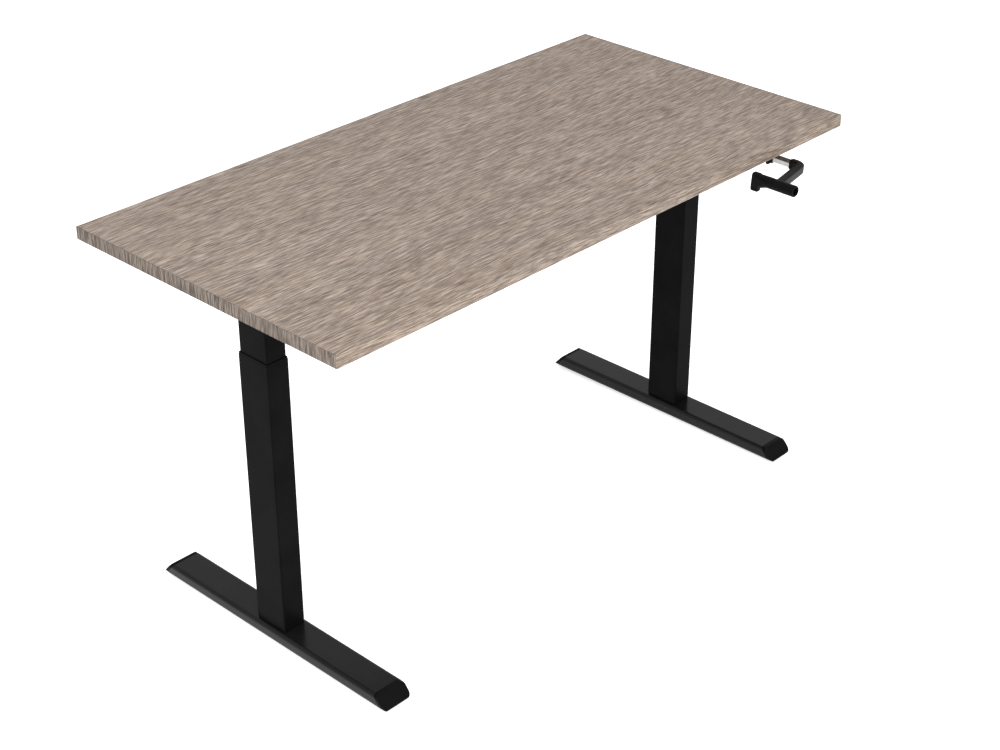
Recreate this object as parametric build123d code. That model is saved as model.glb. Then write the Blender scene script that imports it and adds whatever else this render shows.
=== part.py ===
from build123d import *
import os
from math import cos, pi, radians, sin, tan

# A two-leg desk whose worktop is raised by a hand crank. Millimetres, +Z up, +X to the right of a
# person sitting at the front, and the front at -Y. The origin is on the floor, under the middle
# of the worktop.

# Worktop: a coated board with a thin band glued round its edges
TOP_LENGTH = 1400
TOP_DEPTH = 700
TOP_THICKNESS = 25
TOP_HEIGHT = 787
SHEET_THICKNESS = 0.8
BAND_THICKNESS = 2

# Legs: an outer column that stands on the foot and an inner tube that slides in it
LEG_X = 588
LEG_Y = -24
COLUMN_WIDTH = 50
COLUMN_DEPTH = 80
TUBE_WIDTH = 45
TUBE_DEPTH = 75
TUBE_WALL = 1.5
TUBE_CORNER = 3
COLUMN_TOP = 617
TUBE_BOTTOM = 140
TUBE_TOP = 714
COLLAR_LIP = 3.5
COLLAR_SLEEVE = 60
SLIDE_GAP = 0.3

# Feet: a flat tube with sloping ends on screwed levelling pads
FOOT_WIDTH = 70
FOOT_HEIGHT = 27.5
FOOT_BOTTOM = 7
FOOT_HALF_LENGTH = 323
FOOT_END_SLOPE = 23
FOOT_WALL = 2
FOOT_CORNER = 8
CAP_THICKNESS = 8
CAP_SEAM = 1.5
CAP_TOP_ROUND = 7
CAP_BOTTOM_ROUND = 2.5
CAP_SIDE_ROUND = 10
PLATE_THICKNESS = 3
PAD_RADIUS = 16
PAD_HEIGHT = 5
PAD_OFFSET = 282
STUD_RADIUS = 4
STUD_TOP = 27
INSERT_RADIUS = 7
FOOT_BOLT_X = 13
FOOT_BOLT_Y = 28
FOOT_BOLT_HEAD = 6.5
FOOT_BOLT_ACCESS = 7.5

# Lift drive: a bevel gear pair at each leg turns a lead screw in a nut on a fixed post
AXIS_Z = 742
SCREW_RADIUS = 7
SCREW_BOTTOM = 115
JOURNAL_RADIUS = 6
NUT_BOTTOM = 455
NUT_FLANGE = 6
NUT_LENGTH = 30
POST_RADIUS = 13
POST_BORE = 10.1
RUNNING_FIT = 0.08
BEARING_RADIUS = 14
BEARING_WIDTH = 8

# Bevel gears: all alike, one to one, on shafts that cross at right angles
GEAR_TEETH = 14
GEAR_RADIUS = 12
GEAR_TIP = 1.3
GEAR_ROOT = 1.7
TOOTH_HALF_PITCH_WIDTH = 0.95
TOOTH_FLANK = radians(24)
TOOTH_INNER_SCALE = 0.7
GEAR_BACK = 3
GEAR_HUB_RADIUS = 9
GEAR_HUB = 4.5

# Drive rod: a hexagon bar that joins the crank to both legs
ROD_FLATS = 8
ROD_LEFT = -LEG_X - 22
ROD_RIGHT = LEG_X - 5
BUSH_RADIUS = 7
BUSH_BORE = 4.95

# Gear housings
HEAD_HALF_X = 27
HEAD_HALF_Y = 28
HEAD_BOTTOM = TUBE_TOP
CAVITY_BACK = 20
CAVITY_FRONT = 15
CAVITY_HALF = 15
CAVITY_BOTTOM = 722
CAVITY_TOP = 757
SPIGOT_DEPTH = 16
PLUG_CORNER = 1.5
HEAD_BOLT_X = 21
HEAD_BOLT_Y = 22
SINK_RADIUS = 6
SINK_DEPTH = 3

# Gear box of the crank, hung from the worktop by ears at its front and back
BOX_RIGHT = 22
BOX_BACK = 20
BOX_BOTTOM = 724
BOX_FLOOR = 726.5
EAR_HALF_WIDTH = 19
EAR_FRONT = 48
EAR_BACK = 37
BOX_SCREW_X = 13
BOX_SCREW_Y = (-40, 29)

# Steel frame under the worktop
BRACKET_LENGTH = 560
BRACKET_HALF_WIDTH = 40
BRACKET_HEIGHT = 33
SHEET_STEEL = 3
RAIL_SIZE = 30
RAIL_WALL = 1.5
RAIL_Y = (-140, 110)
RAIL_BOLT_Z = 8
WORKTOP_SCREW_X = 30
WORKTOP_SCREW_Y = (-255, -75, 75, 255)

# Hand crank at the front right
CRANK_X = 510
CRANK_BAR = 12.5
CRANK_BAR_TURN = -18
CRANK_BAR_WALL = 1.2
CRANK_BAR_CORNER = 1
CRANK_PIN_RADIUS = 1.5
CRANK_PIN_Y = -90
CRANK_BAR_FRONT = -386
CRANK_BAR_BACK = -62
CRANK_GAP_HOLE = 9
ARM_LENGTH = 130
ARM_TURN = 6
ARM_START_Y = -365
ARM_ELBOW_Y = -391
GRIP_Y = -428
ARM_HEIGHT = 21
ARM_THICKNESS = 12
EYE_RADIUS = 11.5
EYE_HALF_WIDTH = 10
GRIP_RADIUS = 11.5
GRIP_FRONT = -469
GRIP_BACK = -352
GRIP_BORE = 8
NECK_RADIUS = 6
GRIP_BOLT_SHANK = 2.5
FLARE_START = -404
FLARE_SIZE = (14, 33)
FLARE_DROP = 6
FLANGE_SIZE = (15, 38)
FLANGE_CORNER = 5
FLANGE_DROP = 7
FLANGE_THICKNESS = 16
GUIDE_FRONT = -318
GUIDE_DEPTH = 34
GUIDE_HALF_WIDTH = 16
GUIDE_SCREW_X = 9
GUIDE_SCREW_Y = GUIDE_FRONT + 22
SLEEVE_RADIUS = 9.5
SLEEVE_FLANGE = 11.5

# Fasteners
SCREW_SHANK = 2.5
BOLT_SHANK = 3
FOOT_BOLT_SHANK = 4

UNDERSIDE = TOP_HEIGHT - TOP_THICKNESS
FOOT_TOP = FOOT_BOTTOM + FOOT_HEIGHT
PLATE_TOP = FOOT_TOP + PLATE_THICKNESS
WEB_BOTTOM = UNDERSIDE - SHEET_STEEL
SIDES = {"left": -1, "right": 1}


def prism(axis, sketch, start, end, at):
    """A sketch extruded along X, Y or Z from start to end, with its centre at the other two places."""
    a, b = at
    planes = {
        "X": Plane(origin=(start, a, b), x_dir=(0, 1, 0), z_dir=(1, 0, 0)),
        "Y": Plane(origin=(a, start, b), x_dir=(1, 0, 0), z_dir=(0, 1, 0)),
        "Z": Plane(origin=(a, b, start), x_dir=(1, 0, 0), z_dir=(0, 0, 1)),
    }
    return extrude(planes[axis] * sketch, end - start)


def round_bar(axis, radius, start, end, at):
    return prism(axis, Circle(radius), start, end, at)


def ring(axis, radius, bore, start, end, at):
    return prism(axis, Circle(radius) - Circle(bore), start, end, at)


def hexagon(flats):
    return RegularPolygon(flats / 2, 6, major_radius=False)


def block(low, high):
    """A box between its lowest and its highest corner."""
    size = [h - l for l, h in zip(low, high)]
    middle = [(h + l) / 2 for l, h in zip(low, high)]
    return Pos(*middle) * Box(*size)


def tube_profile(width, depth, wall, corner):
    inner = RectangleRounded(width - 2 * wall, depth - 2 * wall, max(corner - wall, 0.5))
    return RectangleRounded(width, depth, corner) - inner


def group(shapes):
    return Compound(children=list(shapes))


def save(shape, node):
    export_step(shape, f"parts/{node}.step")


def worktop_pilot_places():
    """Where the wood screws go up into the worktop: along each bracket, the crank box and the guide."""
    places = []
    for side in SIDES.values():
        for x in (-WORKTOP_SCREW_X, WORKTOP_SCREW_X):
            places += [(side * LEG_X + x, LEG_Y + y) for y in WORKTOP_SCREW_Y]
    for y in BOX_SCREW_Y:
        places += [(CRANK_X + x, LEG_Y + y) for x in (-BOX_SCREW_X, BOX_SCREW_X)]
    places += [(CRANK_X + x, GUIDE_SCREW_Y) for x in (-GUIDE_SCREW_X, GUIDE_SCREW_X)]
    return places


def worktop():
    half_x = TOP_LENGTH / 2 - BAND_THICKNESS
    half_y = TOP_DEPTH / 2 - BAND_THICKNESS
    holes = [
        round_bar("Z", SCREW_SHANK, UNDERSIDE, UNDERSIDE + 16, place)
        for place in worktop_pilot_places()
    ]
    low = UNDERSIDE + SHEET_THICKNESS
    high = TOP_HEIGHT - SHEET_THICKNESS
    core = block((-half_x, -half_y, low), (half_x, half_y, high))
    under = block((-half_x, -half_y, UNDERSIDE), (half_x, half_y, low))
    save(core - holes, "worktop_core")
    save(under - holes, "worktop_under_sheet")
    save(block((-half_x, -half_y, high), (half_x, half_y, TOP_HEIGHT)), "worktop_top_sheet")
    edge_x = TOP_LENGTH / 2
    edge_y = TOP_DEPTH / 2
    long_bands = [
        block((-edge_x, near, UNDERSIDE), (edge_x, near + BAND_THICKNESS, TOP_HEIGHT))
        for near in (-edge_y, half_y)
    ]
    short_bands = [
        block((near, -half_y, UNDERSIDE), (near + BAND_THICKNESS, half_y, TOP_HEIGHT))
        for near in (-edge_x, half_x)
    ]
    save(group(long_bands), "edge_bands_long")
    save(group(short_bands), "edge_bands_short")


def sloped_bar(section, bottom_half, x):
    """A flat bar along Y on the leg's line, both ends cut to the foot's slope."""
    bar = prism("Y", section, -400, 400, (0, FOOT_BOTTOM + FOOT_HEIGHT / 2))
    top_half = bottom_half - FOOT_END_SLOPE
    outline = Polygon(
        (-bottom_half, FOOT_BOTTOM), (bottom_half, FOOT_BOTTOM),
        (top_half, FOOT_TOP), (-top_half, FOOT_TOP), align=None,
    )
    cutter = extrude(Plane(origin=(-50, 0, 0), x_dir=(0, 1, 0), z_dir=(1, 0, 0)) * outline, 100)
    return Pos(x, LEG_Y, 0) * (bar & cutter)


def cap_form(section, x):
    """The foot's full outer form: a sloped bar with its ends rounded at top, bottom and sides."""
    top_half = FOOT_HALF_LENGTH - FOOT_END_SLOPE
    outline = Polygon(
        (-FOOT_HALF_LENGTH, FOOT_BOTTOM), (FOOT_HALF_LENGTH, FOOT_BOTTOM),
        (top_half, FOOT_TOP), (-top_half, FOOT_TOP), align=None,
    )
    outline = fillet(outline.vertices().sort_by(Axis.Y)[:2], CAP_BOTTOM_ROUND)
    outline = fillet(outline.vertices().sort_by(Axis.Y)[-2:], CAP_TOP_ROUND)
    side_view = Plane(origin=(-50, 0, 0), x_dir=(0, 1, 0), z_dir=(1, 0, 0))
    form = prism("Y", section, -400, 400, (0, FOOT_BOTTOM + FOOT_HEIGHT / 2))
    form &= extrude(side_view * outline, 100)
    for end in (-1, 1):
        plan = Pos(0, -end * FOOT_HALF_LENGTH) * RectangleRounded(
            FOOT_WIDTH, 4 * FOOT_HALF_LENGTH, CAP_SIDE_ROUND
        )
        slope = (0, -end * FOOT_END_SLOPE, FOOT_HEIGHT)
        length = (FOOT_END_SLOPE**2 + FOOT_HEIGHT**2) ** 0.5
        form &= extrude(Pos(0, 0, FOOT_BOTTOM) * plan, length, dir=slope)
    return Pos(x, LEG_Y, 0) * form


def foot_bolt_places(x):
    reach = (-FOOT_BOLT_Y, FOOT_BOLT_Y)
    return [(x + dx, LEG_Y + dy) for dx in (-FOOT_BOLT_X, FOOT_BOLT_X) for dy in reach]


def foot(side):
    x = SIDES[side] * LEG_X
    outer = RectangleRounded(FOOT_WIDTH, FOOT_HEIGHT, FOOT_CORNER)
    inner_width = FOOT_WIDTH - 2 * FOOT_WALL
    inner_height = FOOT_HEIGHT - 2 * FOOT_WALL
    inner = RectangleRounded(inner_width, inner_height, FOOT_CORNER - FOOT_WALL)
    tube_half = FOOT_HALF_LENGTH - CAP_THICKNESS
    tube = sloped_bar(outer - inner, tube_half, x)
    for place in foot_bolt_places(x):
        tube -= round_bar("Z", FOOT_BOLT_SHANK, FOOT_TOP - 5, FOOT_TOP + 1, place)
        tube -= round_bar("Z", FOOT_BOLT_ACCESS, FOOT_BOTTOM - 1, FOOT_BOTTOM + 5, place)
    for end in (-1, 1):
        place = (x, LEG_Y + end * PAD_OFFSET)
        tube -= round_bar("Z", INSERT_RADIUS, FOOT_BOTTOM - 1, FOOT_BOTTOM + 5, place)
    save(tube, f"foot_{side}")

    face = cap_form(outer, x) - sloped_bar(outer, tube_half + CAP_SEAM, x)
    neck_size = (FOOT_WIDTH - 2 * CAP_SEAM, FOOT_HEIGHT - 2 * CAP_SEAM, FOOT_CORNER - CAP_SEAM)
    neck_section = RectangleRounded(*neck_size)
    neck = sloped_bar(neck_section, tube_half + CAP_SEAM, x)
    neck -= sloped_bar(neck_section, tube_half, x)
    plug_section = RectangleRounded(inner_width - 0.2, inner_height - 0.2, FOOT_CORNER - FOOT_WALL)
    plug = sloped_bar(plug_section, tube_half, x) - sloped_bar(plug_section, tube_half - 9, x)
    caps = face + neck + plug

    nuts = []
    for end in (-1, 1):
        place = (x, LEG_Y + end * PAD_OFFSET)
        bore = STUD_RADIUS + RUNNING_FIT
        body = ring("Z", INSERT_RADIUS - 0.1, bore, FOOT_BOTTOM, FOOT_BOTTOM + 13, place)
        flange = ring("Z", 10, bore, FOOT_BOTTOM + FOOT_WALL, FOOT_BOTTOM + FOOT_WALL + 1.5, place)
        nuts.append(body + flange)
    return caps.solids(), nuts


def levelling_pad(side, end_name, end):
    """A moulded disc with a steel stud that screws into the foot's insert."""
    place = (SIDES[side] * LEG_X, LEG_Y + end * PAD_OFFSET)
    disc = round_bar("Z", PAD_RADIUS, 0, PAD_HEIGHT, place)
    disc = fillet(disc.edges().sort_by(Axis.Z)[-1], 2)
    disc = chamfer(disc.edges().sort_by(Axis.Z)[0], 0.6)
    disc -= round_bar("Z", STUD_RADIUS, 2, PAD_HEIGHT + 1, place)
    stud = round_bar("Z", STUD_RADIUS, 2, STUD_TOP, place)
    save(group([disc, stud]), f"levelling_pad_{end_name}_{side}")


def column(side):
    """The fixed half of a leg: foot plate, outer column, glide collar, nut post and lift nut."""
    x = SIDES[side] * LEG_X
    at = (x, LEG_Y)
    plate_outline = RectangleRounded(COLUMN_WIDTH - 2, COLUMN_DEPTH - 2, 2)
    plate = prism("Z", plate_outline, FOOT_TOP, PLATE_TOP, at)
    for place in foot_bolt_places(x):
        plate -= round_bar("Z", FOOT_BOLT_SHANK, FOOT_TOP - 1, PLATE_TOP + 1, place)
    profile = tube_profile(COLUMN_WIDTH, COLUMN_DEPTH, TUBE_WALL, TUBE_CORNER)
    save(prism("Z", profile, PLATE_TOP, COLUMN_TOP, at), f"outer_column_{side}")

    opening_size = (TUBE_WIDTH + 2 * SLIDE_GAP, TUBE_DEPTH + 2 * SLIDE_GAP)
    opening = RectangleRounded(*opening_size, TUBE_CORNER + SLIDE_GAP)
    lip = RectangleRounded(COLUMN_WIDTH - 1, COLUMN_DEPTH - 1, TUBE_CORNER) - opening
    inside = (COLUMN_WIDTH - 2 * TUBE_WALL - 0.1, COLUMN_DEPTH - 2 * TUBE_WALL - 0.1)
    sleeve = RectangleRounded(*inside, TUBE_CORNER) - opening
    collar = prism("Z", lip, COLUMN_TOP, COLUMN_TOP + COLLAR_LIP, at)
    collar += prism("Z", sleeve, COLUMN_TOP - COLLAR_SLEEVE, COLUMN_TOP, at)

    post = ring("Z", POST_RADIUS, POST_BORE, PLATE_TOP, NUT_BOTTOM, at)
    bore = SCREW_RADIUS + RUNNING_FIT
    nut = ring("Z", POST_RADIUS, bore, NUT_BOTTOM, NUT_BOTTOM + NUT_FLANGE, at)
    nut += ring("Z", POST_BORE - 0.1, bore, NUT_BOTTOM - NUT_LENGTH, NUT_BOTTOM, at)
    return {"foot_plates": plate, "glide_collars": collar, "nut_posts": post, "lift_nuts": nut}


def foot_fasteners():
    bolts, nuts = [], []
    inner_top = FOOT_TOP - FOOT_WALL
    for side in SIDES.values():
        for place in foot_bolt_places(side * LEG_X):
            head = round_bar("Z", FOOT_BOLT_HEAD, inner_top - 8, inner_top, place)
            head -= prism("Z", hexagon(6), inner_top - 8, inner_top - 4, place)
            bolts.append(head + round_bar("Z", FOOT_BOLT_SHANK, inner_top, PLATE_TOP + 9, place))
            nut = prism("Z", hexagon(13), PLATE_TOP, PLATE_TOP + 6.5, place)
            nuts.append(nut - round_bar("Z", FOOT_BOLT_SHANK, PLATE_TOP - 1, PLATE_TOP + 8, place))
    save(group(bolts), "foot_bolts")
    save(group(nuts), "weld_nuts")


def tooth_outline(turn):
    """One tooth's four-sided outline on the gear's outer plane, turned about the gear's axis."""
    points = []
    for side in (-1, 1):
        for radius in (GEAR_RADIUS - GEAR_ROOT - 0.6, GEAR_RADIUS + GEAR_TIP)[::side]:
            half = TOOTH_HALF_PITCH_WIDTH - (radius - GEAR_RADIUS) * tan(TOOTH_FLANK)
            points.append((radius, side * half))
    turned = []
    for r, t in points:
        turned.append((r * cos(turn) - t * sin(turn), r * sin(turn) + t * cos(turn)))
    return turned


def bevel_gear(phase, bore_sketch):
    """A gear on +Z with its cone's apex at the origin and its teeth below it, facing up."""
    outer_plane = -GEAR_RADIUS
    inner_plane = -GEAR_RADIUS * TOOTH_INNER_SCALE
    root = GEAR_RADIUS - GEAR_ROOT
    body = Pos(0, 0, (outer_plane + inner_plane) / 2) * Cone(
        root, root * TOOTH_INNER_SCALE, inner_plane - outer_plane
    )
    for i in range(GEAR_TEETH):
        corners = tooth_outline(2 * pi * (i + phase) / GEAR_TEETH)
        large = Pos(0, 0, outer_plane) * make_face(Polyline(*corners, close=True))
        small_corners = [(px * TOOTH_INNER_SCALE, py * TOOTH_INNER_SCALE) for px, py in corners]
        small = Pos(0, 0, inner_plane) * make_face(Polyline(*small_corners, close=True))
        body += loft([large, small])
    back = outer_plane - GEAR_BACK
    body += round_bar("Z", root, back, outer_plane, (0, 0))
    body += round_bar("Z", GEAR_HUB_RADIUS, back - GEAR_HUB, back, (0, 0))
    return body - prism("Z", bore_sketch, -40, 0, (0, 0))


def gears():
    """Screw gears point up, rod gears point right and the crank's gear points back."""
    upright = bevel_gear(0, Circle(5))
    rod_blank = bevel_gear(0.5, Rot(0, 0, 90) * hexagon(ROD_FLATS + 0.1))
    along_x = Rot(0, 90, 0)
    along_y = Rot(-90, 0, 0)
    for side, sign in SIDES.items():
        apex = Pos(sign * LEG_X, LEG_Y, AXIS_Z)
        save(apex * Rot(0, 0, 180) * upright, f"screw_gear_{side}")
        save(apex * along_x * rod_blank, f"rod_gear_{side}")
    apex = Pos(CRANK_X, LEG_Y, AXIS_Z)
    save(apex * along_x * rod_blank, "rod_gear_crank")
    save(apex * along_y * bevel_gear(0.5, hexagon(ROD_FLATS + 0.1)), "crank_gear")


def tube_plug():
    """What fits snugly inside the inner tube."""
    width = TUBE_WIDTH - 2 * TUBE_WALL - 0.1
    depth = TUBE_DEPTH - 2 * TUBE_WALL - 0.1
    return RectangleRounded(width, depth, PLUG_CORNER)


def head_bolt_places(x):
    reach = (-HEAD_BOLT_Y, HEAD_BOLT_Y)
    return [(x + dx, LEG_Y + dy) for dx in (-HEAD_BOLT_X, HEAD_BOLT_X) for dy in reach]


def inner_tube(side):
    """The sliding half of a leg with the glide at its foot."""
    x = SIDES[side] * LEG_X
    at = (x, LEG_Y)
    profile = tube_profile(TUBE_WIDTH, TUBE_DEPTH, TUBE_WALL, TUBE_CORNER)
    save(prism("Z", profile, TUBE_BOTTOM, TUBE_TOP, at), f"inner_tube_{side}")
    clearance = 2 * (TUBE_WALL + SLIDE_GAP)
    skirt = RectangleRounded(COLUMN_WIDTH - clearance, COLUMN_DEPTH - clearance, TUBE_CORNER)
    glide = prism("Z", skirt, TUBE_BOTTOM - 10, TUBE_BOTTOM, at)
    glide += prism("Z", tube_plug(), TUBE_BOTTOM, TUBE_BOTTOM + 18, at)
    glide -= round_bar("Z", POST_RADIUS + 1, TUBE_BOTTOM - 11, TUBE_BOTTOM + 19, at)
    return glide


def lead_screw(side):
    """The screw hangs from the head: thread, journal in the bearing and a plain end for the gear."""
    at = (SIDES[side] * LEG_X, LEG_Y)
    screw = round_bar("Z", SCREW_RADIUS, SCREW_BOTTOM, TUBE_TOP - 1, at)
    screw += round_bar("Z", JOURNAL_RADIUS, TUBE_TOP - 1, TUBE_TOP + BEARING_WIDTH, at)
    screw += round_bar("Z", 5, TUBE_TOP + BEARING_WIDTH, AXIS_Z - 7, at)
    save(screw, f"lead_screw_{side}")


def leg_head(side):
    """The gear housing on the inner tube, split across the rod's axis, with its bearing and bushes."""
    x = SIDES[side] * LEG_X
    at = (x, LEG_Y)
    corner = Pos(x, LEG_Y, 0)
    shell = block((-HEAD_HALF_X, -HEAD_HALF_Y, HEAD_BOTTOM), (HEAD_HALF_X, HEAD_HALF_Y, WEB_BOTTOM))
    shell = fillet(shell.edges().filter_by(Axis.Z), 5)
    shell -= block(
        (-CAVITY_BACK, -CAVITY_HALF, CAVITY_BOTTOM), (CAVITY_FRONT, CAVITY_HALF, CAVITY_TOP)
    )
    shell = corner * shell
    shell -= round_bar("X", BUSH_RADIUS, x - 40, x + 40, (LEG_Y, AXIS_Z))
    shell -= round_bar("Z", BEARING_RADIUS + 0.05, HEAD_BOTTOM, CAVITY_BOTTOM, at)
    for place in head_bolt_places(x):
        shell -= round_bar("Z", BOLT_SHANK, HEAD_BOTTOM + 8, WEB_BOTTOM + 1, place)
    lower = block((x - 60, LEG_Y - 60, 0), (x + 60, LEG_Y + 60, AXIS_Z))
    base = shell & lower
    spigot = tube_plug() - Circle(BEARING_RADIUS - 3)
    base += prism("Z", spigot, HEAD_BOTTOM - SPIGOT_DEPTH, HEAD_BOTTOM, at)
    save(base, f"gear_housing_{side}")
    save(shell - lower, f"gear_cover_{side}")

    fit = JOURNAL_RADIUS + RUNNING_FIT
    bearing = [
        ring("Z", BEARING_RADIUS, 11.5, HEAD_BOTTOM, HEAD_BOTTOM + BEARING_WIDTH, at),
        ring("Z", 11.4, 8.6, HEAD_BOTTOM + 1, HEAD_BOTTOM + BEARING_WIDTH - 1, at),
        ring("Z", 8.5, fit, HEAD_BOTTOM, HEAD_BOTTOM + BEARING_WIDTH, at),
    ]
    return bearing


def rod_bushes():
    spans = []
    for sign in SIDES.values():
        spans.append((sign * LEG_X - HEAD_HALF_X, sign * LEG_X - CAVITY_BACK))
        spans.append((sign * LEG_X + CAVITY_FRONT, sign * LEG_X + HEAD_HALF_X))
    spans.append((CRANK_X - HEAD_HALF_X, CRANK_X - CAVITY_BACK))
    spans.append((CRANK_X + CAVITY_FRONT, CRANK_X + BOX_RIGHT))
    reach = BUSH_RADIUS - 0.05
    save(
        group(ring("X", reach, BUSH_BORE, start, end, (LEG_Y, AXIS_Z)) for start, end in spans),
        "rod_bushes",
    )


def crank_box():
    """The gear housing where the crank meets the rod, hung from the worktop by its two ears."""
    front = LEG_Y - HEAD_HALF_X
    shell = block(
        (CRANK_X - HEAD_HALF_X, front, BOX_BOTTOM),
        (CRANK_X + BOX_RIGHT, LEG_Y + BOX_BACK, UNDERSIDE),
    )
    shell = fillet(shell.edges().filter_by(Axis.Z), 4)
    ears = block(
        (CRANK_X - EAR_HALF_WIDTH, LEG_Y - EAR_FRONT, WEB_BOTTOM),
        (CRANK_X + EAR_HALF_WIDTH, LEG_Y + EAR_BACK, UNDERSIDE),
    )
    shell += fillet(ears.edges().filter_by(Axis.Z), 4)
    shell -= block(
        (CRANK_X - CAVITY_BACK, LEG_Y - CAVITY_BACK, BOX_FLOOR),
        (CRANK_X + CAVITY_FRONT, LEG_Y + CAVITY_FRONT, CAVITY_TOP),
    )
    shell -= round_bar("X", BUSH_RADIUS, CRANK_X - 40, CRANK_X + 40, (LEG_Y, AXIS_Z))
    shell -= round_bar("Y", BUSH_RADIUS, front - 1, LEG_Y - CAVITY_FRONT, (CRANK_X, AXIS_Z))
    for dx in (-BOX_SCREW_X, BOX_SCREW_X):
        for dy in BOX_SCREW_Y:
            place = (CRANK_X + dx, LEG_Y + dy)
            shell -= round_bar("Z", SCREW_SHANK, WEB_BOTTOM - 1, UNDERSIDE + 1, place)
    lower = block((CRANK_X - 60, LEG_Y - 80, 0), (CRANK_X + 60, LEG_Y + 80, AXIS_Z))
    save(shell & lower, "crank_housing")
    save(shell - lower, "crank_housing_cover")
    bush = ring("Y", BUSH_RADIUS - 0.05, BUSH_BORE, front, LEG_Y - CAVITY_BACK, (CRANK_X, AXIS_Z))
    save(bush, "crank_bush")


def countersink(place):
    """The cone of a flush screw head in the bracket's web."""
    return Pos(*place, UNDERSIDE - SINK_DEPTH / 2) * Cone(BOLT_SHANK, SINK_RADIUS, SINK_DEPTH)


def bracket(side):
    """A pressed steel channel under the worktop that joins the leg's head to the worktop."""
    x = SIDES[side] * LEG_X
    half_length = BRACKET_LENGTH / 2
    outer = block(
        (-BRACKET_HALF_WIDTH, -half_length, UNDERSIDE - BRACKET_HEIGHT),
        (BRACKET_HALF_WIDTH, half_length, UNDERSIDE),
    )
    outer = fillet(outer.edges().filter_by(Axis.Y).sort_by(Axis.Z)[-2:], 2)
    inside = BRACKET_HALF_WIDTH - SHEET_STEEL
    channel = outer - block((-inside, -400, 0), (inside, 400, WEB_BOTTOM))
    for end in (-1, 1):
        corner = Plane(origin=(-60, 0, 0), x_dir=(0, 1, 0), z_dir=(1, 0, 0)) * Polygon(
            (end * (half_length + 1), UNDERSIDE - 8),
            (end * (half_length + 1), UNDERSIDE - BRACKET_HEIGHT - 1),
            (end * (half_length - 45), UNDERSIDE - BRACKET_HEIGHT - 1),
            align=None,
        )
        channel -= extrude(corner, 120)
    channel = Pos(x, LEG_Y, 0) * channel
    channel -= round_bar("X", BUSH_RADIUS + 0.5, x - 50, x + 50, (LEG_Y, AXIS_Z))
    for px, py in worktop_pilot_places():
        if abs(px - x) < BRACKET_HALF_WIDTH:
            channel -= round_bar("Z", SCREW_SHANK, WEB_BOTTOM - 1, UNDERSIDE + 1, (px, py))
    for place in head_bolt_places(x):
        channel -= countersink(place)
    inner_flange = x - SIDES[side] * (BRACKET_HALF_WIDTH - SHEET_STEEL / 2)
    for y in RAIL_Y:
        for dz in (-RAIL_BOLT_Z, RAIL_BOLT_Z):
            hole = (y, WEB_BOTTOM - RAIL_SIZE / 2 + dz)
            channel -= round_bar("X", BOLT_SHANK, inner_flange - 5, inner_flange + 5, hole)
    save(channel, f"side_bracket_{side}")


def rails():
    """Two square tubes that join the brackets, each with a welded end plate inside its ends."""
    reach = LEG_X - BRACKET_HALF_WIDTH
    middle = WEB_BOTTOM - RAIL_SIZE / 2
    profile = tube_profile(RAIL_SIZE, RAIL_SIZE, RAIL_WALL, 2.5)
    inside = RAIL_SIZE - 2 * RAIL_WALL - 0.1
    plates, bolts = [], []
    for name, y in zip(("front", "back"), RAIL_Y):
        rail = prism("X", profile, -reach, reach, (y, middle))
        if name == "front":
            rail -= round_bar("Y", CRANK_GAP_HOLE, y - 20, y + 20, (CRANK_X, AXIS_Z))
        save(rail, f"cross_rail_{name}")
        for sign in SIDES.values():
            start, end = sorted((sign * reach, sign * (reach - 4)))
            plate = prism("X", RectangleRounded(inside, inside, 1), start, end, (y, middle))
            for dz in (-RAIL_BOLT_Z, RAIL_BOLT_Z):
                spot = (y, middle + dz)
                plate -= round_bar("X", BOLT_SHANK, start - 1, end + 1, spot)
                tip = sign * (reach - 9)
                seat = sign * (reach + SHEET_STEEL)
                crown = sign * (reach + SHEET_STEEL + 4)
                shank = round_bar("X", BOLT_SHANK, min(tip, seat), max(tip, seat), spot)
                head = prism("X", hexagon(10), min(seat, crown), max(seat, crown), spot)
                bolts.append(shank + head)
            plates.append(plate)
    save(group(plates), "rail_end_plates")
    save(group(bolts), "rail_bolts")


def guide_bracket():
    """An angle behind the worktop's front edge that carries the crank's bar."""
    back = GUIDE_FRONT + GUIDE_DEPTH
    tab = block(
        (CRANK_X - GUIDE_HALF_WIDTH, GUIDE_FRONT, AXIS_Z - 12),
        (CRANK_X + GUIDE_HALF_WIDTH, GUIDE_FRONT + SHEET_STEEL, UNDERSIDE),
    )
    tab = fillet(tab.edges().filter_by(Axis.Y).sort_by(Axis.Z)[:2], 5)
    tab += block(
        (CRANK_X - GUIDE_HALF_WIDTH, GUIDE_FRONT, WEB_BOTTOM),
        (CRANK_X + GUIDE_HALF_WIDTH, back, UNDERSIDE),
    )
    window = SLEEVE_RADIUS + SLIDE_GAP
    tab -= round_bar("Y", window, GUIDE_FRONT - 1, GUIDE_FRONT + 5, (CRANK_X, AXIS_Z))
    for dx in (-GUIDE_SCREW_X, GUIDE_SCREW_X):
        place = (CRANK_X + dx, GUIDE_SCREW_Y)
        tab -= round_bar("Z", SCREW_SHANK, WEB_BOTTOM - 1, UNDERSIDE + 1, place)
    save(tab, "crank_guide")


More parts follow.
